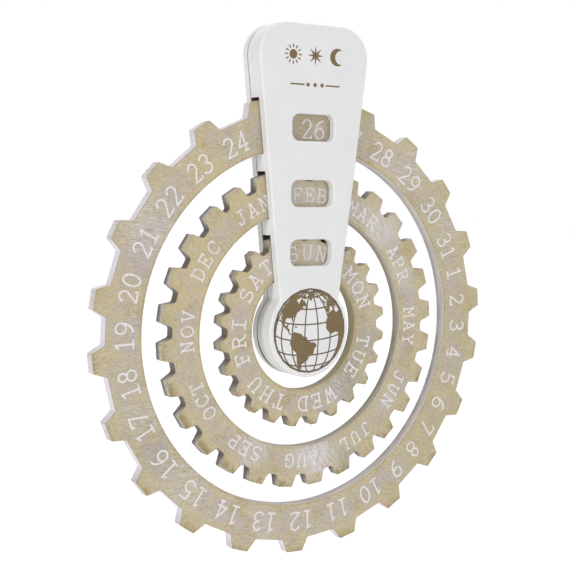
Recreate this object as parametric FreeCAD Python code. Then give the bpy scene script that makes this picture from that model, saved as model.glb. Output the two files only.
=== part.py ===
import FreeCAD, Part
import math
import os

# Perpetual calendar that hangs on a wall. Millimetres and degrees.
# The origin is the centre of the dial on the wall plane, X to the right, Y into the wall,
# Z up. Angles on the dial run clockwise from the top, as on a clock.

# Depths, from the wall towards the room
back_thickness = 4.8
slot_back_gap = 0.8
ring_thickness = 6.2
slot_front_gap = 0.5
front_wall = 4.7

# Radial sizes of the rings, from the middle outwards
weekday_bore_r = 31.4
weekday_band = 14.3
weekday_tooth = 4.85
weekday_to_month_gap = 10.45
month_band = 14.8
month_tooth = 6.3
month_to_date_gap = 9.9
date_band = 18.7
date_tooth = 6.75

# Teeth: how many like runs of them a ring has, how many each run has, how far apart the last
# tooth of a run and the first of the next stand, half widths at tip and root, and corner radii
weekday_tooth_runs = 1
weekday_teeth_per_run = 24
weekday_joint_pitch_deg = 12.9
weekday_tip_half = 1.9
weekday_root_half = 4.2
weekday_tip_round = 0.7
weekday_root_round = 1.3
month_tooth_runs = 2
month_teeth_per_run = 14
month_joint_pitch_deg = 11.4
month_tip_half = 4.15
month_root_half = 6.05
month_tip_round = 0.6
month_root_round = 1.6
date_tooth_runs = 2
date_teeth_per_run = 11
date_joint_pitch_deg = 14.7
date_tip_half = 4.67
date_root_half = 7.74
date_tip_round = 0.4
date_root_round = 0.5
ring_edge_round = 0.45

# How far the middle of a ring's first run is turned clockwise from the top, as it was left
weekday_turn_deg = 104.3
month_turn_deg = 52.6
date_turn_deg = 1.8

# How far below the dial's centre the two inner rings and the disc sit
weekday_drop = 0.9
month_drop = 0.9
disc_drop = 1.3

# Slots: room under each ring's rim, and above its teeth
hang_gap = 0.3
weekday_tooth_gap = 2.45
month_tooth_gap = 1.9
date_tooth_gap = 1.6

# Arm: half widths of the taper at the dial's centre, at its bend and at the top
arm_foot_half_width = 16.0
arm_bend_half_width = 25.3
arm_top_half_width = 34.2
arm_bend_round = 160.0
arm_corner_round = 16.0
head_height = 35.0
disc_gap = 7.7
foot_shift = 0.65
neck_round = 3.5
face_round = 0.8
seam_chamfer = 0.3

# Windows
window_width = 25.4
window_height = 13.4
window_round = 4.2
window_edge_round = 0.7

# Screws that join the two layers of the arm
screw_length = 12.0
screw_r = 1.5
screw_head_r = 2.9
screw_head_rim = 0.3
screw_head_depth = 1.9
screw_sink = 0.3
screw_play = 0.06
screw_pitch = 1.2
head_screw_margin = 14.2
outer_bridge_screw_spread = 13.0
inner_bridge_screw_spread = 10.0
disc_screw_margin = 12.7

# Keyhole plate and its screws
hanger_side_margin = 3.8
hanger_end_margin = 1.1
hanger_land = 1.0
hanger_thickness = 1.4
hanger_round = 3.0
hanger_sink = 0.2
hanger_play = 0.2
hanger_screw_length = 9.0
hanger_screw_r = 1.2
hanger_screw_head_r = 2.1
hanger_screw_head_rim = 0.2
hanger_screw_head_depth = 1.2
keyhole_entry_r = 4.2
keyhole_slot_r = 2.1
keyhole_rise = 7.0
keyhole_head_gap = 0.3

# A screw's details, as shares of its own sizes
thread_root_share = 0.78
screw_point_share = 0.2
recess_length_share = 1.1
recess_width_share = 0.3
recess_depth_share = 0.6

# The longest share of a side that the rounding of one of its corners may take
rounding_share = 0.48

# A cut's run past the face that it opens
overrun = 1.0

# Radii that follow from the stack of rings
weekday_root_r = weekday_bore_r + weekday_band
weekday_tip_r = weekday_root_r + weekday_tooth
month_bore_r = weekday_tip_r + weekday_to_month_gap
month_root_r = month_bore_r + month_band
month_tip_r = month_root_r + month_tooth
date_bore_r = month_tip_r + month_to_date_gap
date_root_r = date_bore_r + date_band
date_tip_r = date_root_r + date_tooth

# Planes that follow from the stack of depths
seam_y = -back_thickness
ring_back_y = seam_y - slot_back_gap
ring_front_y = ring_back_y - ring_thickness
slot_front_y = ring_front_y - slot_front_gap
face_y = slot_front_y - front_wall

# Heights on the arm
top_z = date_tip_r + head_height
disc_r = weekday_bore_r - disc_gap
disc_z = -disc_drop
foot_x = -foot_shift
weekday_slot = (-weekday_drop, weekday_bore_r - hang_gap, weekday_tip_r + weekday_tooth_gap)
month_slot = (-month_drop, month_bore_r - hang_gap, month_tip_r + month_tooth_gap)
date_slot = (0, date_bore_r - hang_gap, date_tip_r + date_tooth_gap)
window_heights = (
    (weekday_bore_r + weekday_root_r) / 2,
    (month_bore_r + month_root_r) / 2,
    (date_bore_r + date_root_r) / 2,
)
hanger_z = (date_slot[2] + top_z) / 2
keyhole_half_height = keyhole_rise / 2 + keyhole_entry_r
hanger_screw_spread = keyhole_half_height + hanger_land + hanger_screw_head_r
hanger_height = 2 * (hanger_screw_spread + hanger_screw_head_r + hanger_end_margin)
hanger_width = 2 * (keyhole_entry_r + hanger_side_margin)

V = FreeCAD.Vector
OUT = V(0, -1, 0)


def prism(wire, front_y):
    """Solid between a flat closed wire and the plane of the given depth."""
    depth = wire.BoundBox.Center.y - front_y
    return Part.Face(wire).extrude(OUT * depth)


def rod(radius, x, z, back_y, front_y):
    """Round bar along the depth axis."""
    return Part.makeCylinder(radius, back_y - front_y, V(x, back_y, z), OUT)


def rounded_loop(corners, y):
    """Closed wire at one depth through corners (x, z, radius), each rounded."""
    points = [V(x, y, z) for x, z, radius in corners]
    bends = []
    for index, point in enumerate(points):
        before = points[index - 1] - point
        after = points[(index + 1) % len(points)] - point
        room = rounding_share * min(before.Length, after.Length)
        before.normalize()
        after.normalize()
        half_angle = before.getAngle(after) / 2
        radius = min(corners[index][2], room * math.tan(half_angle))
        reach = radius / math.tan(half_angle)
        inward = (before + after).normalize()
        middle = point + inward * (radius / math.sin(half_angle) - radius)
        bends.append((point + before * reach, middle, point + after * reach))
    edges = []
    for index, bend in enumerate(bends):
        if corners[index][2] > 0:
            edges.append(Part.Arc(*bend).toShape())
        next_start = bends[(index + 1) % len(bends)][0]
        edges.append(Part.LineSegment(bend[2], next_start).toShape())
    return Part.Wire(edges)


def rounded_rectangle(width, height, radius, z, y):
    """Closed wire of a rounded rectangle that is centred across the arm."""
    corners = [
        (side_x * width / 2, z + side_z * height / 2, radius)
        for side_x, side_z in ((-1, -1), (-1, 1), (1, 1), (1, -1))
    ]
    return rounded_loop(corners, y)


def edges_in_plane(shape, y):
    """Edges that lie wholly at one depth."""
    tolerance = overrun / 1000
    return [
        edge for edge in shape.Edges
        if abs(edge.BoundBox.YMin - y) < tolerance and abs(edge.BoundBox.YMax - y) < tolerance
    ]


def tooth_angles(runs, teeth_per_run, joint_pitch, turn):
    """Dial angles of the teeth. They stand closer together where two runs meet."""
    step = (360 / runs - joint_pitch) / (teeth_per_run - 1)
    middle = (teeth_per_run - 1) / 2
    return [
        run * 360 / runs + (index - middle) * step + turn
        for run in range(runs)
        for index in range(teeth_per_run)
    ]


def tooth_corners(angle, tip_r, tip_half, tip_round, root_r, root_half, root_round):
    """Four corners of one tooth, clockwise round the dial."""
    ray = V(math.sin(math.radians(angle)), 0, math.cos(math.radians(angle)))
    across = V(ray.z, 0, -ray.x)
    corners = []
    for radius, side, rounding in (
        (root_r, -root_half, root_round),
        (tip_r, -tip_half, tip_round),
        (tip_r, tip_half, tip_round),
        (root_r, root_half, root_round),
    ):
        point = ray * math.sqrt(radius ** 2 - side ** 2) + across * side
        corners.append((point.x, point.z, rounding))
    return corners


def toothed_ring(bore_r, tooth, angles, drop):
    """Flat ring with teeth outside, a round bore, and eased edges on both faces."""
    corners = []
    for angle in angles:
        corners.extend(tooth_corners(angle, *tooth))
    disc = prism(rounded_loop(corners, ring_back_y), ring_front_y)
    bore = rod(bore_r, 0, 0, ring_back_y + overrun, ring_front_y - overrun)
    ring = disc.cut(bore)
    rims = edges_in_plane(ring, ring_back_y) + edges_in_plane(ring, ring_front_y)
    ring = ring.makeFillet(ring_edge_round, rims)
    return ring.translate(V(0, 0, -drop))


def date_ring():
    tooth = (date_tip_r, date_tip_half, date_tip_round,
             date_root_r, date_root_half, date_root_round)
    angles = tooth_angles(date_tooth_runs, date_teeth_per_run, date_joint_pitch_deg, date_turn_deg)
    return toothed_ring(date_bore_r, tooth, angles, 0)


def month_ring():
    tooth = (month_tip_r, month_tip_half, month_tip_round,
             month_root_r, month_root_half, month_root_round)
    angles = tooth_angles(month_tooth_runs, month_teeth_per_run, month_joint_pitch_deg,
                          month_turn_deg)
    return toothed_ring(month_bore_r, tooth, angles, month_drop)


def weekday_ring():
    tooth = (weekday_tip_r, weekday_tip_half, weekday_tip_round,
             weekday_root_r, weekday_root_half, weekday_root_round)
    angles = tooth_angles(weekday_tooth_runs, weekday_teeth_per_run, weekday_joint_pitch_deg,
                          weekday_turn_deg)
    return toothed_ring(weekday_bore_r, tooth, angles, weekday_drop)


def arm_layer(back_y, front_y):
    """Outline of the arm as a plate: a bent taper above a disc, with a soft neck."""
    left, right = [
        [
            (foot_x + side * arm_foot_half_width, 0, 0),
            (side * arm_bend_half_width, month_root_r, arm_bend_round),
            (side * arm_top_half_width, top_z, arm_corner_round),
        ]
        for side in (-1, 1)
    ]
    taper = prism(rounded_loop(left + right[::-1], back_y), front_y)
    disc = rod(disc_r, foot_x, disc_z, back_y, front_y)
    plate = taper.fuse(disc).removeSplitter()
    neck = [
        edge for edge in plate.Edges
        if edge.BoundBox.YLength > (back_y - front_y) / 2
        and 0 < edge.BoundBox.Center.z < weekday_bore_r
    ]
    return plate.makeFillet(neck_round, neck)


def screw_places():
    """Places (x, z) of the screws that join the two layers of the arm."""
    inner_bridge_r = (weekday_slot[2] + month_slot[1]) / 2
    outer_bridge_r = (month_slot[2] + date_slot[1]) / 2
    disc_spread = disc_r - disc_screw_margin
    places = [(foot_x, disc_z - disc_spread), (foot_x, disc_z + disc_spread)]
    for spread, radius in (
        (inner_bridge_screw_spread, inner_bridge_r),
        (outer_bridge_screw_spread, outer_bridge_r),
    ):
        height = math.sqrt(radius ** 2 - spread ** 2)
        places.extend([(-spread, height), (spread, height)])
    head_spread = arm_top_half_width - head_screw_margin
    places.extend([(-head_spread, hanger_z), (head_spread, hanger_z)])
    return places


def hanger_screw_places():
    return [(0, hanger_z - hanger_screw_spread), (0, hanger_z + hanger_screw_spread)]


def screw_hole(x, z, radius, head_r, head_rim, head_depth, length, top_y):
    """Space of a countersunk screw, a little wider than the screw itself."""
    wide_r = head_r + screw_play
    hole_r = radius + screw_play
    profile = Part.makePolygon([
        V(0, top_y + overrun, 0),
        V(wide_r, top_y + overrun, 0),
        V(wide_r, top_y - head_rim, 0),
        V(hole_r, top_y - head_depth, 0),
        V(hole_r, top_y - length, 0),
        V(0, top_y - length, 0),
        V(0, top_y + overrun, 0),
    ])
    hole = Part.Face(profile).revolve(V(0, 0, 0), V(0, 1, 0), 360)
    return hole.translate(V(x, 0, z))


def screw_solid(x, z, radius, head_r, head_rim, head_depth, length, top_y):
    """Countersunk wood screw with ridges for its thread and a cross recess."""
    outline = [
        V(0, top_y, 0),
        V(head_r, top_y, 0),
        V(head_r, top_y - head_rim, 0),
        V(radius, top_y - head_depth, 0),
    ]
    point_y = top_y - length * (1 - screw_point_share)
    start_y = top_y - head_depth - screw_pitch
    ridges = max(1, int((start_y - point_y) / screw_pitch))
    ridge_pitch = (start_y - point_y) / ridges
    for index in range(ridges):
        ridge_y = start_y - index * ridge_pitch
        outline.append(V(radius, ridge_y, 0))
        outline.append(V(radius * thread_root_share, ridge_y - ridge_pitch / 2, 0))
    outline.append(V(radius * thread_root_share, point_y, 0))
    outline.append(V(0, top_y - length, 0))
    outline.append(outline[0])
    screw = Part.Face(Part.makePolygon(outline)).revolve(V(0, 0, 0), V(0, 1, 0), 360)
    recess_length = head_r * recess_length_share
    recess_width = head_r * recess_width_share
    recess_depth = head_depth * recess_depth_share
    for long_x, long_z in ((recess_length, recess_width), (recess_width, recess_length)):
        corner = V(-long_x / 2, top_y - recess_depth, -long_z / 2)
        screw = screw.cut(Part.makeBox(long_x, recess_depth + overrun, long_z, corner))
    return screw.translate(V(x, 0, z))


def assembly_screw_sizes():
    return (screw_r, screw_head_r, screw_head_rim, screw_head_depth,
            screw_length, -screw_sink)


def hanger_screw_sizes():
    return (hanger_screw_r, hanger_screw_head_r, hanger_screw_head_rim,
            hanger_screw_head_depth, hanger_screw_length, -hanger_sink)


def keyhole(entry_r, slot_r, back_y, front_y):
    """Round entry with a narrower slot that rises from it."""
    low_z = hanger_z - keyhole_rise / 2
    high_z = hanger_z + keyhole_rise / 2
    entry = rod(entry_r, 0, low_z, back_y, front_y)
    end = rod(slot_r, 0, high_z, back_y, front_y)
    corner = V(-slot_r, front_y, low_z)
    shaft = Part.makeBox(2 * slot_r, back_y - front_y, keyhole_rise, corner)
    return entry.fuse([end, shaft])


def cut_screw_holes(shape):
    for place in screw_places():
        shape = shape.cut(screw_hole(*place, *assembly_screw_sizes()))
    for place in hanger_screw_places():
        shape = shape.cut(screw_hole(*place, *hanger_screw_sizes()))
    return shape


def front_block():
    """Front layer: three windows, and three curved slots for the rings cut from behind."""
    block = arm_layer(seam_y, face_y)
    block = block.makeFillet(face_round, edges_in_plane(block, face_y))
    block = block.makeChamfer(seam_chamfer, edges_in_plane(block, seam_y))
    for height in window_heights:
        wire = rounded_rectangle(window_width, window_height, window_round, height, seam_y)
        block = block.cut(prism(wire, face_y - overrun))
    rims = [
        edge for edge in edges_in_plane(block, face_y)
        if edge.BoundBox.XMax < window_width / 2 + window_edge_round
        and edge.BoundBox.XMin > -window_width / 2 - window_edge_round
        and edge.BoundBox.ZMin > window_heights[0] - window_height
        and edge.BoundBox.ZMax < window_heights[2] + window_height
    ]
    block = block.makeFillet(window_edge_round, rims)
    for centre_z, low_r, high_r in (weekday_slot, month_slot, date_slot):
        outer = rod(high_r, 0, centre_z, seam_y + overrun, slot_front_y)
        inner = rod(low_r, 0, centre_z, seam_y + overrun, slot_front_y)
        block = block.cut(outer.cut(inner))
    return cut_screw_holes(block)


def back_plate():
    """Back layer: closes the slots and holds the keyhole plate in a shallow pocket."""
    plate = arm_layer(0, seam_y)
    plate = plate.makeFillet(face_round, edges_in_plane(plate, 0))
    plate = plate.makeChamfer(seam_chamfer, edges_in_plane(plate, seam_y))
    pocket = rounded_rectangle(hanger_width + 2 * hanger_play, hanger_height + 2 * hanger_play,
                               hanger_round + hanger_play, hanger_z, overrun)
    plate = plate.cut(prism(pocket, -hanger_sink - hanger_thickness))
    head_r = keyhole_entry_r + keyhole_head_gap
    plate = plate.cut(keyhole(head_r, head_r, 0, seam_y - overrun))
    return cut_screw_holes(plate)


def hanger_plate():
    """Steel plate with a keyhole that drops over the head of a wall screw."""
    wire = rounded_rectangle(hanger_width, hanger_height, hanger_round, hanger_z, -hanger_sink)
    plate = prism(wire, -hanger_sink - hanger_thickness)
    plate = plate.cut(keyhole(keyhole_entry_r, keyhole_slot_r, overrun,
                              -hanger_sink - hanger_thickness - overrun))
    for place in hanger_screw_places():
        plate = plate.cut(screw_hole(*place, *hanger_screw_sizes()))
    return plate


def build():
    """Every piece of the calendar by the name of its node."""
    pieces = {
        "front_block": front_block(),
        "back_plate": back_plate(),
        "date_ring": date_ring(),
        "month_ring": month_ring(),
        "weekday_ring": weekday_ring(),
        "hanger_plate": hanger_plate(),
    }
    for number, place in enumerate(screw_places(), 1):
        pieces[f"assembly_screw_{number}"] = screw_solid(*place, *assembly_screw_sizes())
    for number, place in enumerate(hanger_screw_places(), 1):
        pieces[f"hanger_screw_{number}"] = screw_solid(*place, *hanger_screw_sizes())
    return pieces


os.makedirs("parts", exist_ok=True)
for name, shape in build().items():
    box = shape.BoundBox
    print(f"{name}: {len(shape.Solids)} solid, valid {shape.isValid()}, "
          f"volume {shape.Volume:.1f}, X {box.XMin:.2f} to {box.XMax:.2f}, "
          f"Y {box.YMin:.2f} to {box.YMax:.2f}, Z {box.ZMin:.2f} to {box.ZMax:.2f}")
    shape.exportStep(f"parts/{name}.step")
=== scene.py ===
import math

import bpy
from mathutils import Matrix, Vector
from mathutils.geometry import delaunay_2d_cdt


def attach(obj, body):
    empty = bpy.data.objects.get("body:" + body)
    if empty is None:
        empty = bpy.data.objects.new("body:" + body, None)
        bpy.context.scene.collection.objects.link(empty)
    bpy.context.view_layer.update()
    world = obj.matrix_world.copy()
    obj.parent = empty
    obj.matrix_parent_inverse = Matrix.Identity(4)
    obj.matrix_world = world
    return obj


MM = 0.001

# Planes and radii of the CAD part, in millimetres
SEAM = -4.8
RING_BACK = -5.6
RING_FRONT = -11.8
SLOT_FRONT = -12.3
FACE = -17.0
RINGS = {
    "date": {"centre": 0.0, "bore": 92.0, "root": 110.7, "tip": 117.45},
    "month": {"centre": -0.9, "bore": 61.0, "root": 75.8, "tip": 82.1},
    "weekday": {"centre": -0.9, "bore": 31.4, "root": 45.7, "tip": 50.55},
}

# Slots in the arm: height of the centre, and inner and outer radius
SLOTS = ((-0.9, 31.1, 53.0), (-0.9, 60.7, 84.0), (0.0, 91.7, 119.05))

# The photo's camera: direction in degrees, distance and aim in millimetres, focal length in
# pixels of a picture 576 wide, sensor in millimetres, nearest and farthest view in metres
AZIMUTH = -32.62
ELEVATION = 5.051
ROLL = 0.974
DISTANCE = 598.3
AIM = (-10.70, RING_FRONT, 20.57)
FOCAL = 1181.4
FRAME_WIDTH = 576
SENSOR_WIDTH = 36
CLIP_RANGE = (0.01, 50)

# Floor and lights, in metres and watts
FLOOR_Z = -0.3
FLOOR_HALF = 6
LIGHT_AIM = (0, 0, 0.02)
LIGHTS = {
    "key": {"place": (0.5, -1.2, 1.3), "size": (1.2, 1.2), "power": 0.7},
    "fill": {"place": (-1.62, -0.62, 0.35), "size": (0.3, 0.5), "power": 8.0},
}

# Print: how far it stands proud of the surface and reaches into it, in millimetres
PROUD = 0.06
SUNK = 0.04


def srgb(red, green, blue):
    """Linear colour of three 8-bit values."""
    def linear(value):
        share = value / 255
        return share / 12.92 if share <= 0.04045 else ((share + 0.055) / 1.055) ** 2.4
    return (linear(red), linear(green), linear(blue), 1.0)


# Colours of the arm's paint, the painted shadow in its seam, and the board in its slots, whose pale part
# is painted light
PAINT = srgb(219, 219, 219)
PAINT_BRIGHT = srgb(224, 224, 224)
PAINT_STREAK = srgb(206, 205, 204)
SEAM_SHADE = srgb(112, 108, 102)
SEAM_DEEP_SHADE = srgb(42, 38, 34)
BOARD_PAINTED_LIGHT = srgb(206, 188, 156)
BOARD_BROWN = srgb(96, 82, 66)

# The seam's painted shadow: the heights between which it grows, its half width above them,
# and how much that gains below them
SEAM_SHADE_HEIGHTS = (2, -18)
SEAM_SHADE_HALF = 0.22
SEAM_SHADE_GAIN = 0.5

# How far from the middle the board in the slots is brown, and how far it is pale with painted light
BOARD_SIDES = (19, 15)

# Width of the soft border round the board
BORDER = 0.1

# Inks, fresh and worn
PALE_INK = srgb(223, 219, 220)
PALE_INK_WORN = srgb(198, 191, 180)
LINE_INK = srgb(100, 87, 70)
LINE_INK_WORN = srgb(120, 106, 88)
LAND_INK = srgb(117, 99, 70)
LAND_INK_WORN = srgb(133, 115, 86)

# Colours of the washed wood
WOOD_BAND = srgb(180, 170, 146)
WOOD_BAND_PINK = srgb(180, 168, 156)
WOOD_YELLOW = srgb(187, 173, 134)
WOOD_OLIVE = srgb(168, 151, 108)
WOOD_WASH = srgb(197, 191, 188)
WOOD_PALE = srgb(214, 209, 206)
WOOD_DARK = srgb(138, 127, 105)
WOOD_RIM = srgb(148, 127, 86)
WOOD_BURNT = srgb(128, 109, 66)
TINT_OLIVE = srgb(174, 163, 118)
TINT_YELLOW = srgb(196, 178, 128)
TINT_GREY = srgb(152, 145, 134)
TINT_MAUVE = srgb(170, 159, 154)
TINT_PALE = srgb(202, 198, 196)
TINT_CREAM = srgb(216, 207, 180)

# What differs from ring to ring. tilt is the rise of the strokes in degrees, and burn the
# strength of the brown on the teeth. A smear or tint is a spot on the face: its dial angle,
# distance from the centre, reach and strength, and the tint's colour.
# The valley colour is that of the sides down between the teeth; the dark one on the month and weekday
# rings is painted shade.
LOOKS = {
    "date": {
        "seed": 5, "tilt": -3, "burn": 0.35,
        "valley_and_shade": srgb(214, 210, 217), "side_streak": srgb(154, 144, 136),
        "tooth_back": srgb(207, 204, 207), "tooth_front": srgb(205, 199, 198),
        "bore_back": srgb(174, 172, 173), "bore_front": srgb(196, 190, 184),
        "corner": srgb(160, 144, 120), "bore_corner": srgb(192, 181, 160),
        "smear": srgb(208, 203, 200),
        "smears": (
            (300, 103, 18, 0.6), (248, 99, 14, 0.35), (222, 101, 15, 0.4),
            (38, 104, 17, 0.4), (62, 106, 12, 0.4), (195, 104, 12, 0.35),
        ),
        "tints": (
            (122, 99, 48, 0.5, TINT_OLIVE), (88, 106, 26, 0.35, TINT_OLIVE),
            (240, 98, 26, 0.45, TINT_GREY), (296, 102, 24, 0.5, TINT_MAUVE),
            (322, 97, 20, 0.45, TINT_YELLOW), (60, 103, 26, 0.25, TINT_OLIVE),
            (150, 112, 14, 0.4, TINT_OLIVE),
        ),
    },
    "month": {
        "seed": 61, "tilt": -60, "burn": 0.7,
        "valley_and_shade": srgb(108, 101, 96), "side_streak": srgb(128, 119, 110),
        "tooth_back": srgb(121, 118, 115), "tooth_front": srgb(190, 181, 167),
        "bore_back": srgb(142, 138, 122), "bore_front": srgb(178, 168, 156),
        "corner": srgb(172, 159, 132), "bore_corner": srgb(196, 184, 160),
        "smear": srgb(210, 209, 217),
        "smears": (
            (172, 69, 13, 1.0), (28, 69, 10, 0.6), (42, 67, 10, 0.6),
            (206, 68, 11, 0.6), (128, 66, 9, 0.4),
        ),
        "tints": (
            (44, 68, 16, 0.5, TINT_PALE), (68, 66, 16, 0.35, TINT_PALE),
            (178, 67, 16, 0.45, TINT_PALE), (358, 67, 18, 0.6, TINT_CREAM),
            (296, 68, 26, 0.5, TINT_YELLOW), (330, 68, 22, 0.45, TINT_YELLOW),
            (158, 79, 12, 0.6, TINT_GREY), (136, 79, 12, 0.45, TINT_OLIVE),
            (200, 80, 9, 0.4, TINT_OLIVE),
        ),
    },
    "weekday": {
        "seed": 113, "tilt": -35, "burn": 0.5,
        "valley_and_shade": srgb(106, 98, 90), "side_streak": srgb(124, 114, 102),
        "tooth_back": srgb(140, 136, 130), "tooth_front": srgb(168, 159, 142),
        "bore_back": srgb(160, 150, 124), "bore_front": srgb(172, 155, 120),
        "corner": srgb(140, 124, 98), "bore_corner": srgb(196, 180, 146),
        "smear": srgb(208, 205, 206),
        "smears": ((150, 39, 10, 0.5), (62, 40, 9, 0.5), (330, 39, 8, 0.4)),
        "tints": (
            (0, 38, 17, 0.55, TINT_CREAM), (140, 39, 18, 0.75, TINT_GREY),
            (105, 41, 14, 0.4, TINT_GREY), (162, 39, 10, 0.35, TINT_MAUVE),
            (312, 39, 22, 0.45, TINT_YELLOW), (330, 39, 14, 0.3, TINT_PALE),
        ),
    },
}

# Zones of a ring by distance from its root, tip or bore: where each starts and where it is full.
# The burn and the tooth ends go from the root to the tip.
STAIN_AT_ROOT = (-6, 1)
STAIN_AT_BORE = (4.5, 0.5)
RIM_AT_TIP = (-2.2, -0.5)
RIM_AT_BORE = (1.4, 0.4)
SIDE_AT_BORE = (3, 1)
BURN_ZONE = (0.5, -0.8)
TOOTH_END_ZONE = (0, -0.6)

# How far the border of the stain wanders, and the heights between which the teeth get darker
STAIN_WANDER = 14.0
BURN_HEIGHTS = (25, -40)

# How far in from a ring's back and from its front the colour of its sides keeps the same
SIDE_BACK = 1.6
SIDE_FRONT = 0.9

# Marks of the grain: the noise that makes each, from where to where it sets in, its strength
# and its colour
GRAIN = (
    ("mottle", 0.52, 0.66, 0.4, TINT_YELLOW),
    ("mottle", 0.48, 0.34, 0.4, TINT_MAUVE),
    ("stroke", 0.53, 0.7, 0.45, WOOD_WASH),
    ("stroke", 0.46, 0.3, 0.4, WOOD_DARK),
    ("fibre", 0.52, 0.68, 0.4, WOOD_PALE),
    ("speck", 0.52, 0.7, 0.3, WOOD_DARK),
    ("speck", 0.48, 0.32, 0.2, WOOD_PALE),
)


# Node materials

class Nodes:
    """A node tree, with short calls for the nodes in it."""

    def __init__(self, tree):
        self.tree = tree

    def node(self, kind, inputs, output=0, **settings):
        made = self.tree.nodes.new(kind)
        for name, value in settings.items():
            setattr(made, name, value)
        for key, value in inputs.items():
            if isinstance(value, bpy.types.NodeSocket):
                self.tree.links.new(value, made.inputs[key])
            else:
                made.inputs[key].default_value = value
        return made.outputs[output]

    def coordinate(self, vector, axis):
        return self.node("ShaderNodeSeparateXYZ", {0: vector}, axis)

    def number(self, operation, *values):
        return self.node("ShaderNodeMath", dict(enumerate(values)), operation=operation)

    def step(self, value, low, high, bottom=0.0, top=1.0):
        """Smooth step from bottom, where the value is at low, to top, where it is at high."""
        inputs = {"Value": value, "From Min": low, "From Max": high, "To Min": bottom, "To Max": top}
        return self.node("ShaderNodeMapRange", inputs, interpolation_type="SMOOTHSTEP")


class Surface(Nodes):
    """A principled material, with short calls for what colours it."""

    def __init__(self, name, roughness, specular=0.5, metallic=0.0):
        self.material = bpy.data.materials.new(name)
        self.material.use_nodes = True
        super().__init__(self.material.node_tree)
        self.shader = self.tree.nodes["Principled BSDF"]
        self.shader.inputs["Roughness"].default_value = roughness
        self.shader.inputs["Specular IOR Level"].default_value = specular
        self.shader.inputs["Metallic"].default_value = metallic

    def position(self):
        """Place on the piece, in millimetres."""
        place = self.node("ShaderNodeTexCoord", {}, "Object")
        return self.node("ShaderNodeVectorMath", {0: place, "Scale": 1 / MM}, operation="SCALE")

    def facing(self):
        """1 where the surface faces the room or the wall, 0 where it faces sideways."""
        normal = self.node("ShaderNodeNewGeometry", {}, "Normal")
        return self.number("ABSOLUTE", self.coordinate(normal, "Y"))

    def stretched(self, vector, scale, tilt=0.0):
        """Space for long streaks. tilt is how far their direction rises from the X axis."""
        inputs = {"Vector": vector, "Angle": math.radians(tilt)}
        turned = self.node("ShaderNodeVectorRotate", inputs, rotation_type="Y_AXIS")
        return self.node("ShaderNodeVectorMath", {0: turned, 1: scale}, operation="MULTIPLY")

    def noise(self, vector, scale=1.0, detail=3.0, roughness=0.55, shift=0.0):
        moved = self.node("ShaderNodeVectorMath", {0: vector, 1: (shift, shift, shift)})
        inputs = {"Vector": moved, "Scale": scale, "Detail": detail, "Roughness": roughness}
        return self.node("ShaderNodeTexNoise", inputs)

    def distance_from_axis(self, place, height):
        """Distance from the dial's axis, or one parallel to it at some height."""
        offset = self.node("ShaderNodeVectorMath", {0: place, 1: (0, 0, -height)})
        flat = self.node("ShaderNodeVectorMath", {0: offset, 1: (1, 0, 1)}, operation="MULTIPLY")
        return self.node("ShaderNodeVectorMath", {0: flat}, "Value", operation="LENGTH")

    def distance_from_spot(self, place, angle, reach):
        """Distance from a spot on a ring's face, given by its dial angle and radius."""
        turn = math.radians(angle)
        spot = (math.sin(turn) * reach, RING_FRONT, math.cos(turn) * reach)
        return self.node("ShaderNodeVectorMath", {0: place, 1: spot}, "Value", operation="DISTANCE")

    def beside(self, radius, edge, zone):
        """1 in a zone beside an edge of a ring, which starts and is full some way off the edge."""
        start, full = zone
        return self.step(radius, edge + start, edge + full)

    def on_tooth(self, radius, sizes, zone):
        """1 on the outer part of the teeth, from some way off the root to some way off the tip."""
        return self.step(radius, sizes["root"] + zone[0], sizes["tip"] + zone[1])

    def mix(self, share, first, second):
        inputs = {"Factor": share, 6: first, 7: second}
        return self.node("ShaderNodeMix", inputs, output=2, data_type="RGBA")

    def colour(self, value):
        self.tree.links.new(value, self.shader.inputs["Base Color"])

    def bump(self, height, depth_mm, strength=1.0):
        inputs = {"Height": height, "Distance": depth_mm * MM, "Strength": strength}
        bumped = self.node("ShaderNodeBump", inputs)
        self.tree.links.new(bumped, self.shader.inputs["Normal"])


def seam_dirt(surface, place, facing, paint):
    """Painted shadow of the gap in the seam of the arm's two layers, most of it low on the foot."""
    lowest = surface.step(surface.coordinate(place, "Z"), *SEAM_SHADE_HEIGHTS)
    width = surface.number("MULTIPLY_ADD", lowest, SEAM_SHADE_GAIN, SEAM_SHADE_HALF)
    offset = surface.number("SUBTRACT", surface.coordinate(place, "Y"), SEAM)
    from_seam = surface.number("DIVIDE", surface.number("ABSOLUTE", offset), width)
    share = surface.number("MULTIPLY", surface.step(from_seam, 1.8, 1.0),
                           surface.step(facing, 0.97, 0.9))
    return surface.mix(share, paint, surface.mix(lowest, SEAM_SHADE, SEAM_DEEP_SHADE))


def slot_board(surface, place, paint):
    """Bare board in the slots, browned at the ends; its pale colour behind the windows is painted light.
    """
    depth = surface.coordinate(place, "Y")
    sideways = surface.number("ABSOLUTE", surface.coordinate(place, "X"))
    board_and_light = surface.mix(surface.step(sideways, *BOARD_SIDES), BOARD_BROWN, BOARD_PAINTED_LIGHT)
    between = surface.number("MULTIPLY", surface.step(depth, SLOT_FRONT - BORDER, SLOT_FRONT),
                             surface.step(depth, SEAM + BORDER, SEAM))
    for centre, low, high in SLOTS:
        radius = surface.distance_from_axis(place, centre)
        inside = surface.number("MULTIPLY", surface.step(radius, low - BORDER, low),
                                surface.step(radius, high + BORDER, high))
        paint = surface.mix(surface.number("MULTIPLY", inside, between), paint, board_and_light)
    return paint


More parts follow.
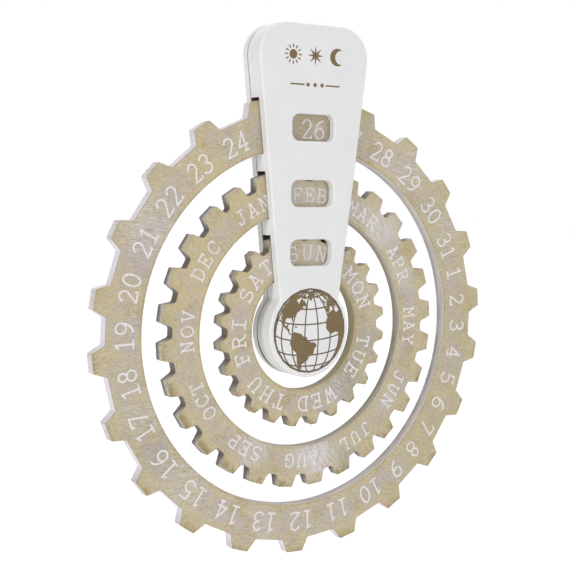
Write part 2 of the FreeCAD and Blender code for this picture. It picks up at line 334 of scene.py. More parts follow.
def white_paint():
    """Satin white outside, with faint streaks on the arm's sides."""
    surface = Surface("white_paint", roughness=0.42)
    place = surface.position()
    cloud = surface.noise(place, scale=0.05)
    speck = surface.noise(place, scale=1.1, detail=2, shift=40)
    streak = surface.noise(surface.stretched(place, (0.05, 1.4, 0.05)), shift=9)
    tone = surface.number("ADD", surface.number("MULTIPLY", cloud, 0.7),
                          surface.number("MULTIPLY", speck, 0.3))
    paint = surface.mix(surface.step(tone, 0.3, 0.7), PAINT, PAINT_BRIGHT)
    facing = surface.facing()
    streaked = surface.number("MULTIPLY", surface.step(facing, 0.5, 0.1),
                              surface.step(streak, 0.45, 0.7, 0.0, 0.5))
    paint = surface.mix(streaked, paint, PAINT_STREAK)
    # painted shadow along the seam between the arm's two layers
    paint = seam_dirt(surface, place, facing, paint)
    # board in the slots, brown at the ends, with painted light behind the windows
    surface.colour(slot_board(surface, place, paint))
    surface.bump(speck, depth_mm=0.02, strength=0.25)
    return surface.material


def ring_noises(surface, place, look):
    """Noises of the wood. Those with long streaks follow the strokes, the depth or the rim."""
    seed, tilt = look["seed"], look["tilt"]

    def streaked(scale, turn, detail, roughness, shift):
        space = surface.stretched(place, scale, turn)
        return surface.noise(space, 1.0, detail, roughness, seed + shift)

    return {
        "stroke": streaked((0.16, 0.16, 1.7), tilt, 4, 0.65, 0),
        "fibre": streaked((0.4, 0.4, 2.4), tilt + 9, 3, 0.6, 3),
        "across": streaked((1.3, 0.12, 1.3), 0, 3, 0.6, 23),
        "along": streaked((0.06, 0.7, 0.06), 0, 3, 0.6, 31),
        "patch": surface.noise(place, 0.07, 4, 0.6, seed + 7),
        "cloud": surface.noise(place, 0.05, 2, 0.5, seed + 13),
        "speck": surface.noise(place, 0.8, 4, 0.7, seed + 17),
        "mottle": surface.noise(place, 0.2, 3, 0.6, seed + 29),
    }


def stained_band(surface, noises, radius, sizes):
    """Pale wood with yellow stain towards both edges, and olive blotches."""
    patch = noises["patch"]
    shift = surface.number("MULTIPLY_ADD", patch, STAIN_WANDER, -0.5 * STAIN_WANDER)
    wavy = surface.number("ADD", radius, shift)
    near_teeth = surface.beside(wavy, sizes["root"], STAIN_AT_ROOT)
    near_bore = surface.beside(wavy, sizes["bore"], STAIN_AT_BORE)
    stained = surface.number("MAXIMUM", near_teeth, near_bore)
    rough_patch = surface.number("ADD", patch, surface.number("MULTIPLY", noises["speck"], 0.35))
    blotch = surface.step(rough_patch, 0.68, 0.86)
    wood = surface.mix(surface.step(noises["cloud"], 0.42, 0.6), WOOD_BAND, WOOD_BAND_PINK)
    wood = surface.mix(surface.number("MULTIPLY", stained, 0.85), wood, WOOD_YELLOW)
    return surface.mix(surface.number("MULTIPLY", blotch, 0.7), wood, WOOD_OLIVE)


def add_tints(surface, wood, place, patch, tints):
    """Broad spots of other tints, with ragged borders."""
    for angle, distance, reach, strength, tint in tints:
        gap = surface.distance_from_spot(place, angle, distance)
        gap = surface.number("ADD", gap, surface.number("MULTIPLY_ADD", patch, reach, -0.5 * reach))
        wood = surface.mix(surface.step(gap, reach, reach * 0.25, 0.0, strength), wood, tint)
    return wood


def add_worn_edges(surface, wood, noises, place, radius, sizes, burn):
    """Burnt teeth, mostly low on the ring, and a brown rim round both edges."""
    lowness = surface.step(surface.coordinate(place, "Z"), *BURN_HEIGHTS, bottom=0.25)
    on_teeth = surface.number("MULTIPLY", surface.on_tooth(radius, sizes, BURN_ZONE),
                              surface.step(noises["mottle"], 0.46, 0.6, 0.0, burn))
    wood = surface.mix(surface.number("MULTIPLY", on_teeth, lowness), wood, WOOD_BURNT)
    at_tip = surface.beside(radius, sizes["tip"], RIM_AT_TIP)
    at_bore = surface.beside(radius, sizes["bore"], RIM_AT_BORE)
    rim = surface.number("MAXIMUM", surface.number("MULTIPLY", at_tip, lowness), at_bore)
    rim = surface.number("MULTIPLY", rim, surface.step(noises["speck"], 0.4, 0.6, 0.1, 0.75))
    return surface.mix(rim, wood, WOOD_RIM)


def add_smears(surface, wood, noises, place, smears, colour):
    """Whitish smears, broken up by the strokes."""
    scratches = surface.number("ADD", noises["stroke"], surface.number("MULTIPLY", noises["fibre"], 0.6))
    scratches = surface.step(scratches, 0.68, 0.98)
    for angle, distance, reach, strength in smears:
        gap = surface.distance_from_spot(place, angle, distance)
        smear = surface.step(gap, reach * 1.15, reach * 0.45, 0.0, strength)
        wood = surface.mix(surface.number("MULTIPLY", smear, scratches), wood, colour)
    return wood


def cut_edges(surface, noises, place, radius, sizes, look):
    """Colours of the sawn sides of a ring, with painted shade down in the valleys, and of its rounded
    corners.
    """
    depth = surface.coordinate(place, "Y")
    forward = surface.step(depth, RING_BACK - SIDE_BACK, RING_FRONT + SIDE_FRONT)
    tooth_end = surface.mix(forward, look["tooth_back"], look["tooth_front"])
    scored = surface.step(noises["across"], 0.5, 0.62, 0.0, 0.55)
    tooth_end = surface.mix(scored, tooth_end, look["side_streak"])
    # from the tooth ends down into the valleys the sides take the valley colour: painted shade on the
    # month and weekday rings
    at_end = surface.on_tooth(radius, sizes, TOOTH_END_ZONE)
    side = surface.mix(at_end, look["valley_and_shade"], tooth_end)
    bore = surface.mix(forward, look["bore_back"], look["bore_front"])
    bore = surface.mix(surface.step(noises["along"], 0.45, 0.62, 0.0, 0.5), bore, look["side_streak"])
    at_bore = surface.beside(radius, sizes["bore"], SIDE_AT_BORE)
    return surface.mix(at_bore, side, bore), surface.mix(at_bore, look["corner"], look["bore_corner"])


def ring_wood(name, sizes, look):
    """Whitewashed wood with a stained and stroked face."""
    surface = Surface(name, roughness=0.6, specular=0.3)
    place = surface.position()
    radius = surface.distance_from_axis(place, sizes["centre"])
    noises = ring_noises(surface, place, look)
    face = stained_band(surface, noises, radius, sizes)
    face = add_tints(surface, face, place, noises["patch"], look["tints"])
    for noise, low, high, strength, colour in GRAIN:
        face = surface.mix(surface.step(noises[noise], low, high, 0.0, strength), face, colour)
    face = add_worn_edges(surface, face, noises, place, radius, sizes, look["burn"])
    face = add_smears(surface, face, noises, place, look["smears"], look["smear"])
    side, corner = cut_edges(surface, noises, place, radius, sizes, look)
    facing = surface.facing()
    edge = surface.mix(surface.step(facing, 0.12, 0.45), side, corner)
    surface.colour(surface.mix(surface.step(facing, 0.86, 0.985), edge, face))
    relief = surface.number("ADD", noises["fibre"], surface.number("MULTIPLY", noises["stroke"], 0.8))
    surface.bump(relief, depth_mm=0.06, strength=0.4)
    return surface.material


def steel(name, shade, roughness):
    """Brushed metal."""
    surface = Surface(name, roughness, metallic=1.0)
    brushed = surface.noise(surface.stretched(surface.position(), (0.4, 0.4, 9.0)))
    low = (shade * 0.86, shade * 0.86, shade * 0.84, 1.0)
    high = (shade, shade, shade * 0.98, 1.0)
    surface.colour(surface.mix(surface.step(brushed, 0.3, 0.7), low, high))
    surface.bump(brushed, depth_mm=0.01, strength=0.3)
    return surface.material


def worn_print(name, ink, worn, share, seed):
    """Flat ink that has lost a little colour in places."""
    surface = Surface(name, roughness=0.65, specular=0.3)
    loss = surface.noise(surface.position(), scale=0.5, detail=4, roughness=0.6, shift=seed)
    surface.colour(surface.mix(surface.step(loss, 0.42, 0.75, 0.0, share), ink, worn))
    return surface.material


# Flat print: outlines in a plane, joined into one thin closed mesh

# Degrees between the points of an arc and its fewest parts, parts of a stroke's round end, the
# bend in degrees at which a stroke is cut, and how near two points have to be to count as one
ARC_STEP = 15
ARC_PARTS = 4
END_PARTS = 5
SHARP_BEND = 25
POINT_GAP = 1e-5


def arc(x, y, radius_x, radius_y, start, end):
    """Points of an arc of an ellipse. Angles run anticlockwise from the right, in degrees."""
    count = max(ARC_PARTS, int(abs(end - start) / ARC_STEP))
    turns = [math.radians(start + (end - start) * index / count) for index in range(count + 1)]
    return [(x + radius_x * math.cos(turn), y + radius_y * math.sin(turn)) for turn in turns]


def disc(x, y, radius):
    """Outline of a full circle."""
    return arc(x, y, radius, radius, 0, 360 - ARC_STEP)


def ring_strokes(x, y, radius_x, radius_y):
    """A closed oval as two strokes that overlap."""
    return [arc(x, y, radius_x, radius_y, -5, 185), arc(x, y, radius_x, radius_y, 175, 365)]


def round_end(tip, turn, half):
    """Points of the half circle that ends a stroke, clockwise from a direction in radians."""
    turns = [turn - math.pi * step / END_PARTS for step in range(1, END_PARTS)]
    return [tip + Vector((math.cos(turn), math.sin(turn))) * half for turn in turns]


def ribbon(points, half):
    """Outline of a smooth stroke with round ends."""
    path = [Vector(point) for point in points]
    sides = []
    for index in range(len(path)):
        before = path[max(index - 1, 0)]
        after = path[min(index + 1, len(path) - 1)]
        along = (after - before).normalized()
        sides.append(Vector((-along.y, along.x)) * half)
    outline = [point + side for point, side in zip(path, sides)]
    outline.extend(round_end(path[-1], math.atan2(sides[-1].y, sides[-1].x), half))
    outline.extend(point - side for point, side in reversed(list(zip(path, sides))))
    outline.extend(round_end(path[0], math.atan2(sides[0].y, sides[0].x) + math.pi, half))
    return [(point.x, point.y) for point in outline]


def stroke_ribbons(points, half):
    """Ribbons of a stroke, which is cut where it bends sharply so that each corner is round."""
    ribbons = []
    start = 0
    for index in range(1, len(points) - 1):
        before = Vector(points[index]) - Vector(points[index - 1])
        after = Vector(points[index + 1]) - Vector(points[index])
        if before.angle(after) > math.radians(SHARP_BEND):
            ribbons.append(ribbon(points[start:index + 1], half))
            start = index
    ribbons.append(ribbon(points[start:], half))
    return ribbons


def anticlockwise(outline):
    area = sum(x * next_y - next_x * y
               for (x, y), (next_x, next_y) in zip(outline, outline[1:] + outline[:1]))
    return outline if area > 0 else outline[::-1]


def united(outlines):
    """Points and triangles that cover overlapping outlines once."""
    points = []
    faces = []
    for outline in outlines:
        faces.append(list(range(len(points), len(points) + len(outline))))
        points.extend(Vector(point) for point in anticlockwise(outline))
    made = delaunay_2d_cdt(points, [], faces, 0, POINT_GAP)
    triangles = [face for face, sources in zip(made[2], made[5]) if sources]
    used = sorted({corner for face in triangles for corner in face})
    number = {corner: index for index, corner in enumerate(used)}
    flat = [(made[0][corner].x, made[0][corner].y) for corner in used]
    return flat, [tuple(number[corner] for corner in face) for face in triangles]


class Print:
    """Collects flat shapes at given places and makes one thin closed mesh of them."""

    def __init__(self):
        self.vertices = []
        self.faces = []

    def add(self, shape, place, surface_y):
        """place turns a flat point into (x, z) on the part."""
        flat, triangles = shape
        start = len(self.vertices)
        count = len(flat)
        for y in (surface_y - PROUD, surface_y + SUNK):
            for point in flat:
                x, z = place(point)
                self.vertices.append((x * MM, y * MM, z * MM))
        edges = []
        for face in triangles:
            self.faces.append(tuple(start + corner for corner in face))
            self.faces.append(tuple(start + count + corner for corner in reversed(face)))
            edges.extend(zip(face, face[1:] + face[:1]))
        known = set(edges)
        for first, second in edges:
            if (second, first) not in known:
                self.faces.append((start + second, start + first,
                                   start + count + first, start + count + second))

    def piece(self, name, material, body, slot):
        mesh = bpy.data.meshes.new(name)
        mesh.from_pydata(self.vertices, [], self.faces)
        mesh.validate()
        mesh.materials.append(material)
        made = bpy.data.objects.new(name, mesh)
        bpy.context.scene.collection.objects.link(made)
        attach(made, body)


# Strokes of the characters, in a box 6 wide. Digits are 10 high and capitals 8 high.
DIGIT_HEIGHT = 10.0
CAPITAL_HEIGHT = 8.0
CHARACTER_WIDTH = 6.0
CHARACTERS = {
    "0": ring_strokes(3, 5, 2.45, 4.5),
    "1": [[(1.4, 8.2), (3.0, 9.5), (3.0, 0.5)], [(1.2, 0.5), (4.8, 0.5)]],
    "2": [arc(2.9, 7.0, 2.25, 2.5, 165, -22) + [(0.7, 0.5)], [(0.7, 0.5), (5.4, 0.5), (5.4, 1.4)]],
    "3": [arc(2.7, 7.35, 2.05, 2.15, 155, -90), arc(2.6, 2.85, 2.6, 2.35, 90, -150)],
    "4": [[(4.1, 0.5), (4.1, 9.5), (0.6, 3.1), (5.5, 3.1)], [(3.0, 0.5), (5.2, 0.5)]],
    "5": [[(5.0, 9.5), (1.3, 9.5), (1.0, 5.3)], arc(2.75, 3.2, 2.6, 2.7, 130, -150)],
    "6": ring_strokes(3, 3.1, 2.4, 2.6) + [arc(5.0, 3.1, 4.4, 6.4, 97, 180)],
    "7": [[(0.7, 8.2), (0.7, 9.5), (5.4, 9.5), (2.3, 0.5)]],
    "8": ring_strokes(3, 7.35, 1.9, 2.15) + ring_strokes(3, 2.85, 2.4, 2.35),
    "9": ring_strokes(3, 6.9, 2.4, 2.6) + [arc(1.0, 6.9, 4.4, 6.4, 0, -83)],
    "A": [[(0.9, 0.4), (3.0, 7.6), (5.1, 0.4)], [(1.7, 2.7), (4.3, 2.7)], [(2.0, 7.6), (3.0, 7.6)],
          [(0.2, 0.4), (1.8, 0.4)], [(4.2, 0.4), (5.8, 0.4)]],
    "B": [[(1.2, 0.4), (1.2, 7.6)], [(0.4, 7.6), (3.3, 7.6)], arc(3.3, 5.9, 1.6, 1.7, 90, -90),
          [(1.2, 4.2), (3.4, 4.2)], [(0.4, 0.4), (3.4, 0.4)], arc(3.4, 2.3, 1.9, 1.9, 90, -90)],
    "C": [arc(3.2, 4.0, 2.5, 3.6, 42, 318), [(5.2, 7.3), (5.2, 5.5)]],
    "D": [[(1.2, 0.4), (1.2, 7.6)], [(0.4, 7.6), (2.6, 7.6)], arc(2.6, 4.0, 2.8, 3.6, 90, -90),
          [(0.4, 0.4), (2.6, 0.4)]],
    "E": [[(1.4, 0.4), (1.4, 7.6)], [(0.5, 7.6), (5.1, 7.6), (5.1, 6.1)], [(1.4, 4.1), (3.7, 4.1)],
          [(3.7, 4.9), (3.7, 3.3)], [(0.5, 0.4), (5.3, 0.4), (5.3, 2.0)]],
    "F": [[(1.4, 0.4), (1.4, 7.6)], [(0.5, 7.6), (5.2, 7.6), (5.2, 6.1)], [(1.4, 4.1), (3.8, 4.1)],
          [(3.8, 4.9), (3.8, 3.3)], [(0.5, 0.4), (3.1, 0.4)]],
    "G": [arc(3.1, 4.0, 2.5, 3.6, 45, 325), [(5.1, 7.3), (5.1, 5.6)], [(5.1, 0.9), (5.1, 3.4)],
          [(3.6, 3.4), (5.8, 3.4)]],
    "H": [[(1.2, 0.4), (1.2, 7.6)], [(4.8, 0.4), (4.8, 7.6)], [(1.2, 4.1), (4.8, 4.1)],
          [(0.4, 7.6), (2.1, 7.6)], [(3.9, 7.6), (5.6, 7.6)], [(0.4, 0.4), (2.1, 0.4)],
          [(3.9, 0.4), (5.6, 0.4)]],
    "I": [[(3.0, 0.4), (3.0, 7.6)], [(1.1, 7.6), (4.9, 7.6)], [(1.1, 0.4), (4.9, 0.4)]],
    "J": [[(2.3, 7.6), (5.4, 7.6)], [(3.9, 7.6), (3.9, 2.4)], arc(2.3, 2.4, 1.6, 2.0, 0, -172)],
    "L": [[(0.7, 7.6), (3.0, 7.6)], [(1.8, 7.6), (1.8, 0.4)], [(0.6, 0.4), (5.3, 0.4), (5.3, 2.3)]],
    "M": [[(1.0, 0.4), (1.0, 7.6), (3.0, 3.4), (5.0, 7.6), (5.0, 0.4)], [(0.2, 0.4), (1.9, 0.4)],
          [(4.1, 0.4), (5.8, 0.4)], [(0.2, 7.6), (1.0, 7.6)], [(5.0, 7.6), (5.8, 7.6)]],
    "N": [[(1.2, 0.4), (1.2, 7.6), (4.8, 0.4), (4.8, 7.6)], [(0.4, 0.4), (2.1, 0.4)],
          [(0.4, 7.6), (1.2, 7.6)], [(3.9, 7.6), (5.6, 7.6)]],
    "O": ring_strokes(3, 4.0, 2.5, 3.6),
    "P": [[(1.4, 0.4), (1.4, 7.6)], [(0.6, 7.6), (3.4, 7.6)], arc(3.4, 5.7, 1.8, 1.9, 90, -90),
          [(1.4, 3.8), (3.4, 3.8)], [(0.6, 0.4), (2.9, 0.4)]],
    "R": [[(1.3, 0.4), (1.3, 7.6)], [(0.5, 7.6), (3.2, 7.6)], arc(3.2, 5.8, 1.7, 1.8, 90, -90),
          [(1.3, 4.0), (3.2, 4.0)], [(3.2, 4.0), (4.8, 0.4), (5.7, 0.4)], [(0.5, 0.4), (2.2, 0.4)]],
    "S": [arc(3.0, 5.85, 2.0, 1.75, 40, 270), arc(3.0, 2.25, 2.2, 1.85, 90, -150),
          [(4.7, 7.4), (4.7, 6.1)], [(0.9, 0.6), (0.9, 2.0)]],
    "T": [[(0.7, 6.1), (0.7, 7.6), (5.3, 7.6), (5.3, 6.1)], [(3.0, 7.6), (3.0, 0.4)],
          [(1.8, 0.4), (4.2, 0.4)]],
    "U": [[(1.2, 7.6)] + arc(3.0, 2.8, 1.8, 2.4, 180, 360) + [(4.8, 7.6)],
          [(0.4, 7.6), (2.1, 7.6)], [(3.9, 7.6), (5.6, 7.6)]],
    "V": [[(0.9, 7.6), (3.0, 0.4), (5.1, 7.6)], [(0.2, 7.6), (1.9, 7.6)], [(4.1, 7.6), (5.8, 7.6)]],
    "W": [[(0.7, 7.6), (1.8, 0.4), (3.0, 5.2), (4.2, 0.4), (5.3, 7.6)], [(0.0, 7.6), (1.6, 7.6)],
          [(4.4, 7.6), (6.0, 7.6)]],
    "Y": [[(0.9, 7.6), (3.0, 4.0), (5.1, 7.6)], [(3.0, 4.0), (3.0, 0.4)], [(1.9, 0.4), (4.1, 0.4)],
          [(0.2, 7.6), (1.8, 7.6)], [(4.2, 7.6), (5.8, 7.6)]],
}


def character_shape(character, stroke, width, height):
    """One character in millimetres, centred, with strokes of the given width."""
    own_height = DIGIT_HEIGHT if character.isdigit() else CAPITAL_HEIGHT
    outlines = []
    for points in CHARACTERS[character]:
        sized = [((x - CHARACTER_WIDTH / 2) * width / CHARACTER_WIDTH,
                  (y - own_height / 2) * height / own_height) for x, y in points]
        outlines.extend(stroke_ribbons(sized, stroke / 2))
    return united(outlines)


def dial_print(labels, centre, step, width, height, stroke):
    """Labels round a dial. labels holds (text, angle of its middle clockwise from the top, radius)."""
    shapes = {}
    printed = Print()
    for text, middle, radius in labels:
        for index, character in enumerate(text):
            angle = math.radians(middle + (index - (len(text) - 1) / 2) * step)
            if character not in shapes:
                shapes[character] = character_shape(character, stroke, width, height)
            sine, cosine = math.sin(angle), math.cos(angle)

            def place(point, radius=radius, sine=sine, cosine=cosine):
                across, out = point[0], radius + point[1]
                return (sine * out + cosine * across, cosine * out - sine * across + centre)

            printed.add(shapes[character], place, RING_FRONT)
    return printed


# Characters on each dial: degrees from one to the next, width, height and stroke
LETTERING = {
    "date": {"step": 4.35, "width": 6.3, "height": 10.2, "stroke": 0.95},
    "month": {"step": 6.25, "width": 5.9, "height": 7.4, "stroke": 0.75},
    "weekday": {"step": 12.75, "width": 6.7, "height": 8.0, "stroke": 0.85},
}

# Labels, with the angle of the middle clockwise from the top and the radius
MONTHS = (
    ("FEB", 1.3, 68.65), ("MAR", 31.05, 68.35), ("APR", 61.3, 67.8), ("MAY", 91.45, 67.8),
    ("JUN", 121.65, 68.1), ("JUL", 150.85, 68.5), ("AUG", 180.45, 68.3), ("SEP", 210.85, 67.9),
    ("OCT", 241.2, 67.45), ("NOV", 271.8, 67.9), ("DEC", 301.85, 68.75), ("JAN", 332.05, 68.95),
)
WEEKDAYS = (
    ("SUN", 0.9, 39.4), ("MON", 58.4, 38.7), ("TUE", 115.1, 37.75), ("WED", 167.85, 38.8),
    ("THU", 215.0, 39.25), ("FRI", 263.2, 39.3), ("SAT", 310.7, 39.6),
)

# Dates in groups: first and last day, angle of the first, degrees from one to the next, radius
DATES = (
    (1, 9, 75.65, 8.41, 101.8),
    (10, 17, 154.1, 12.98, 101.3),
    (18, 24, 257.4, 12.98, 101.0),
    (25, 31, 348.7, 12.98, 100.9),
)

# The globe: radius, centre, the (longitude, latitude) it is seen from far above, the width of
# its lines and how many times as wide its rim is
GLOBE_RADIUS = 21.2
GLOBE_CENTRE = (-0.5, -1.1)
GLOBE_ABOVE = (-47.0, 14.0)
GLOBE_LINE = 0.66
RIM_SHARE = 1.5

# Grid of the globe in degrees: pitch of its lines, first meridian, highest latitude that the
# meridians reach, and the step from point to point along a meridian and along a parallel
GRID_PITCH = 22.5
FIRST_MERIDIAN = GLOBE_ABOVE[0] - 8
MERIDIAN_END = 84
MERIDIAN_STEP = 3
PARALLEL_STEP = 4

# Coasts: how many degrees apart added points are at least, and how many millimetres apart any
# two points are at least
COAST_STEP = 4
COAST_GAP = 0.02
LANDS = (
    ((-168, 66), (-156, 71), (-141, 70), (-128, 70), (-115, 68), (-108, 68), (-95, 68), (-94, 72),
     (-85, 69), (-81, 68), (-87, 64.5), (-94, 61), (-94.5, 58.5), (-88, 56.8), (-82.5, 55),
     (-79.5, 51.5), (-79, 54.5), (-76.5, 57), (-78, 60), (-77.5, 62.5), (-72, 61.5), (-69, 58.8),
     (-65, 60), (-61.5, 56.5), (-57.5, 54.5), (-55.8, 52.3), (-60, 50.2), (-66.5, 50),
     (-64.5, 48.8), (-65, 47), (-61, 45.5), (-66, 43.7), (-67.5, 44.7), (-70.5, 43), (-70, 41.7),
     (-74, 40.6), (-75.5, 38), (-76, 35), (-81, 31.5), (-80, 26.8), (-81, 25.2), (-82.7, 28),
     (-84.2, 30), (-89.5, 30), (-94, 29.5), (-97.3, 27.5), (-97.7, 22.5), (-95.5, 18.6),
     (-91.5, 18.5), (-90.5, 21), (-87, 21.5), (-88, 18.3), (-88.5, 15.9), (-83.3, 15), (-83.7, 11),
     (-81, 8.8), (-77.5, 8.6), (-79.5, 7.4), (-82.8, 8.1), (-85.8, 10.5), (-87.6, 13), (-92, 14.5),
     (-95, 16), (-101.5, 17.6), (-105.5, 20.3), (-106.5, 23.5), (-109.5, 26.5), (-113, 31.2),
     (-114.5, 31), (-111, 26), (-110, 23), (-112.2, 25), (-115, 29.5), (-117.3, 33),
     (-120.6, 34.6), (-124, 39.5), (-124.3, 46), (-123.5, 48.8), (-130, 55), (-135, 58.5),
     (-141, 60), (-150, 60.5), (-158, 56.5), (-165, 62)),
    ((-73, 78), (-66, 80.5), (-50, 82.3), (-30, 83.4), (-18, 80.5), (-19, 76), (-22, 71.5), (-28, 68.3),
     (-38, 65.5), (-43.5, 60), (-48.5, 61), (-52.5, 66), (-54, 70), (-59, 75.7), (-68, 76.2)),
    ((-81, 73.7), (-76, 72.7), (-68, 69.5), (-61.5, 66.5), (-65.5, 62.5), (-72.5, 64.3), (-72.5, 67.8),
     (-79, 70), (-88, 71), (-89.5, 73.5)),
    ((-90, 77), (-78, 77), (-70, 79.5), (-62, 82.4), (-80, 83), (-92, 81)),
    ((-59.3, 48), (-57, 51.4), (-55.6, 50), (-53, 48), (-53.5, 46.7), (-56, 47)),
    ((-84.8, 21.9), (-82.5, 23.1), (-77.5, 21.9), (-74.3, 20.2), (-77.5, 19.9), (-78, 20.8)),
    ((-74.4, 18.4), (-73, 19.9), (-70, 19.7), (-68.5, 18.6), (-71.5, 17.8)),
    ((-77.5, 8.6), (-75.5, 10.7), (-72, 12.2), (-71.5, 10.8), (-68, 11.3), (-64.5, 10.2), (-61.5, 9.8),
     (-57, 6), (-52, 5), (-50, 1), (-48.5, -0.8), (-44.5, -2.6), (-40, -2.9), (-37, -4.8), (-35, -7),
     (-35.5, -9.5), (-38.7, -13), (-39.2, -17.8), (-41, -22), (-44.5, -23.2), (-48.5, -26),
     (-48.8, -28.6), (-52, -33), (-54, -34.8), (-57.5, -34.5), (-57, -36.8), (-62, -38.9), (-65, -41),
     (-64.5, -43), (-67.5, -46), (-66, -48), (-69, -51), (-68.5, -52.5), (-65.5, -55), (-71, -54.5),
     (-74.5, -51), (-75.5, -47), (-73, -42), (-73.5, -38), (-71.7, -33), (-70.3, -25), (-70.3, -18.4),
     (-76, -14), (-79.5, -8), (-81.3, -5), (-80, -2.8), (-80.7, -1), (-78.7, 1.5), (-77.3, 4),
     (-77.9, 7)),
    ((-5.9, 35.8), (-2, 35.2), (3, 36.8), (10, 37.3), (11, 33.8), (15, 32.4), (20, 31), (23, 32.8),
     (29, 31), (32.5, 31.2), (35, 24), (37.5, 19), (39.5, 15.5), (43, 11.8), (51, 11.8), (47, 4),
     (41, -2), (39.5, -7), (40.7, -15), (35, -20), (35.5, -24), (32.5, -27.5), (27, -33.7),
     (20, -34.8), (18.2, -32.5), (15, -27), (12, -18), (13.7, -11), (12, -5.5), (9, -1), (9.5, 3.8),
     (6, 4.3), (1, 6), (-4, 5.2), (-7.6, 4.4), (-11.5, 6.8), (-13.3, 9), (-16.7, 12.4), (-17.5, 14.7),
     (-16.3, 19), (-17, 21.5), (-14.5, 26.2), (-11.5, 28.3), (-9.6, 30.5), (-8.5, 33.4)),
    ((-9.3, 43.2), (-1.8, 43.4), (-1.2, 46), (-4.6, 48.4), (-1.6, 48.7), (1.5, 50.2), (4.5, 52.5),
     (8.5, 53.9), (8.2, 57), (10.6, 57.6), (10, 54.5), (14, 54), (19, 54.5), (21, 57), (24.5, 58),
     (29, 60), (22.5, 60), (21.5, 63), (25.3, 65.2), (21.5, 65.5), (17.3, 61), (18.8, 59.8),
     (16.4, 56.5), (12.9, 55.5), (11, 59), (7, 58), (5, 61), (10.5, 64), (15, 68), (20, 70), (28, 71),
     (41, 67), (44, 68.5), (60, 69), (60, 50), (40, 47), (34, 45), (30, 46), (28, 43.5), (29, 41),
     (23.5, 40.2), (22.5, 36.8), (19.5, 41), (13.5, 45.5), (12.5, 44), (18, 40.3), (16, 38.5),
     (10.5, 42.9), (7.5, 43.8), (3.2, 43.2), (3, 41.8), (-0.3, 39.5), (-2, 36.8), (-5.5, 36.1),
     (-8.9, 37), (-9.4, 38.8)),
    ((-5.5, 50.1), (1.4, 51.3), (0, 53.3), (-1.8, 55.6), (-3, 58.5), (-5.2, 58.5), (-5.5, 55.5),
     (-3, 54), (-4.7, 53), (-5, 51.6)),
    ((-10, 52), (-6.3, 52.2), (-5.6, 54.6), (-8.3, 55.2), (-10, 54)),
    ((-22.5, 64), (-18.5, 63.4), (-13.6, 65), (-16, 66.5), (-22, 66.2), (-24, 65.2)),
    ((-57, -63.3), (-61, -66), (-61, -74), (-45, -78), (-28, -77), (-15, -72.5), (10, -70), (60, -68),
     (100, -67), (150, -70), (-160, -78), (-120, -74), (-90, -72.5), (-74, -73), (-67, -68),
     (-63, -65)),
)


def seen_from_above(longitude, latitude):
    """Place on the globe's picture, in globe radii. A place behind it moves to the rim."""
    east = math.radians(longitude - GLOBE_ABOVE[0])
    north = math.radians(latitude)
    tilt = math.radians(GLOBE_ABOVE[1])
    x = math.cos(north) * math.sin(east)
    y = math.cos(tilt) * math.sin(north) - math.sin(tilt) * math.cos(north) * math.cos(east)
    depth = math.sin(tilt) * math.sin(north) + math.cos(tilt) * math.cos(north) * math.cos(east)
    if depth < 0:
        reach = math.hypot(x, y) or 1.0
        x, y = x / reach, y / reach
    return x * GLOBE_RADIUS, y * GLOBE_RADIUS, depth >= 0


def visible_strokes(places):
    """Runs of a line on the globe that lie on its near side."""
    strokes = []
    run = []
    for longitude, latitude in places:
        x, y, near = seen_from_above(longitude, latitude)
        if near:
            run.append((x, y))
        elif run:
            strokes.append(run)
            run = []
    strokes.append(run)
    return [stroke for stroke in strokes if len(stroke) > 1]


def globe_lines():
    """Rim, meridians and parallels."""
    half = GLOBE_LINE / 2
    rim = ring_strokes(0, 0, GLOBE_RADIUS, GLOBE_RADIUS)
    outlines = [ribbon(stroke, half * RIM_SHARE) for stroke in rim]
    grid = []
    for turn in range(int(360 / GRID_PITCH)):
        longitude = FIRST_MERIDIAN + turn * GRID_PITCH
        latitudes = range(-MERIDIAN_END, MERIDIAN_END + 1, MERIDIAN_STEP)
        grid.append([(longitude, latitude) for latitude in latitudes])
    for rank in range(-3, 4):
        turns = range(0, 361, PARALLEL_STEP)
        grid.append([(GLOBE_ABOVE[0] - 180 + turn, rank * GRID_PITCH) for turn in turns])
    for line in grid:
        outlines.extend(ribbon(stroke, half) for stroke in visible_strokes(line))
    return united(outlines)


def coast_outline(coast):
    """Outline of one coast on the globe's picture, with more points along its long runs."""
    outline = []
    for (longitude, latitude), (next_longitude, next_latitude) in zip(coast, coast[1:] + coast[:1]):
        east = (next_longitude - longitude + 180) % 360 - 180
        north = next_latitude - latitude
        count = max(1, int(max(abs(east), abs(north)) / COAST_STEP))
        for step in range(count):
            share = step / count
            x, y, _ = seen_from_above(longitude + east * share, latitude + north * share)
            if not outline or math.hypot(x - outline[-1][0], y - outline[-1][1]) > COAST_GAP:
                outline.append((x, y))
    return outline


def globe_lands():
    """Coastlines, filled and cut off at the rim."""
    outlines = [coast_outline(coast) for coast in LANDS]
    return united([outline for outline in outlines if len(outline) > 2])


def on_globe(point):
    return (point[0] + GLOBE_CENTRE[0], point[1] + GLOBE_CENTRE[1])


# The ornament at the head of the arm: height of its row and step between the middles in it
ORNAMENT_Z = 137.0
ORNAMENT_STEP = 13.2

# Sun: radius, number of rays, how far from its middle they start and end, and half their width
SUN_RADIUS = 2.3
SUN_RAYS = 12
RAY_REACH = (3.4, 4.7)
RAY_HALF = 0.32

# Star: number of points, and how far from its middle its tips and its notches are
STAR_POINTS = 8
STAR_TIP = 4.9
STAR_NOTCH = 1.5

# Moon: a disc less a smaller one, how far aside that is, and the angles at which the two meet
MOON_RADIUS = 4.4
MOON_BITE = 3.45
MOON_SHIFT = 2.1
MOON_HORN = 50
BITE_HORN = 78

# Rule under the row: height, ends of its two runs, half their width, and the dots between them
RULE_Z = 122.5
RULE_RUNS = ((-14.5, -6.6), (6.6, 14.5))
RULE_HALF = 0.36
DOT_PLACES = (-4.2, 0, 4.2)
DOT_RADIUS = 1.0


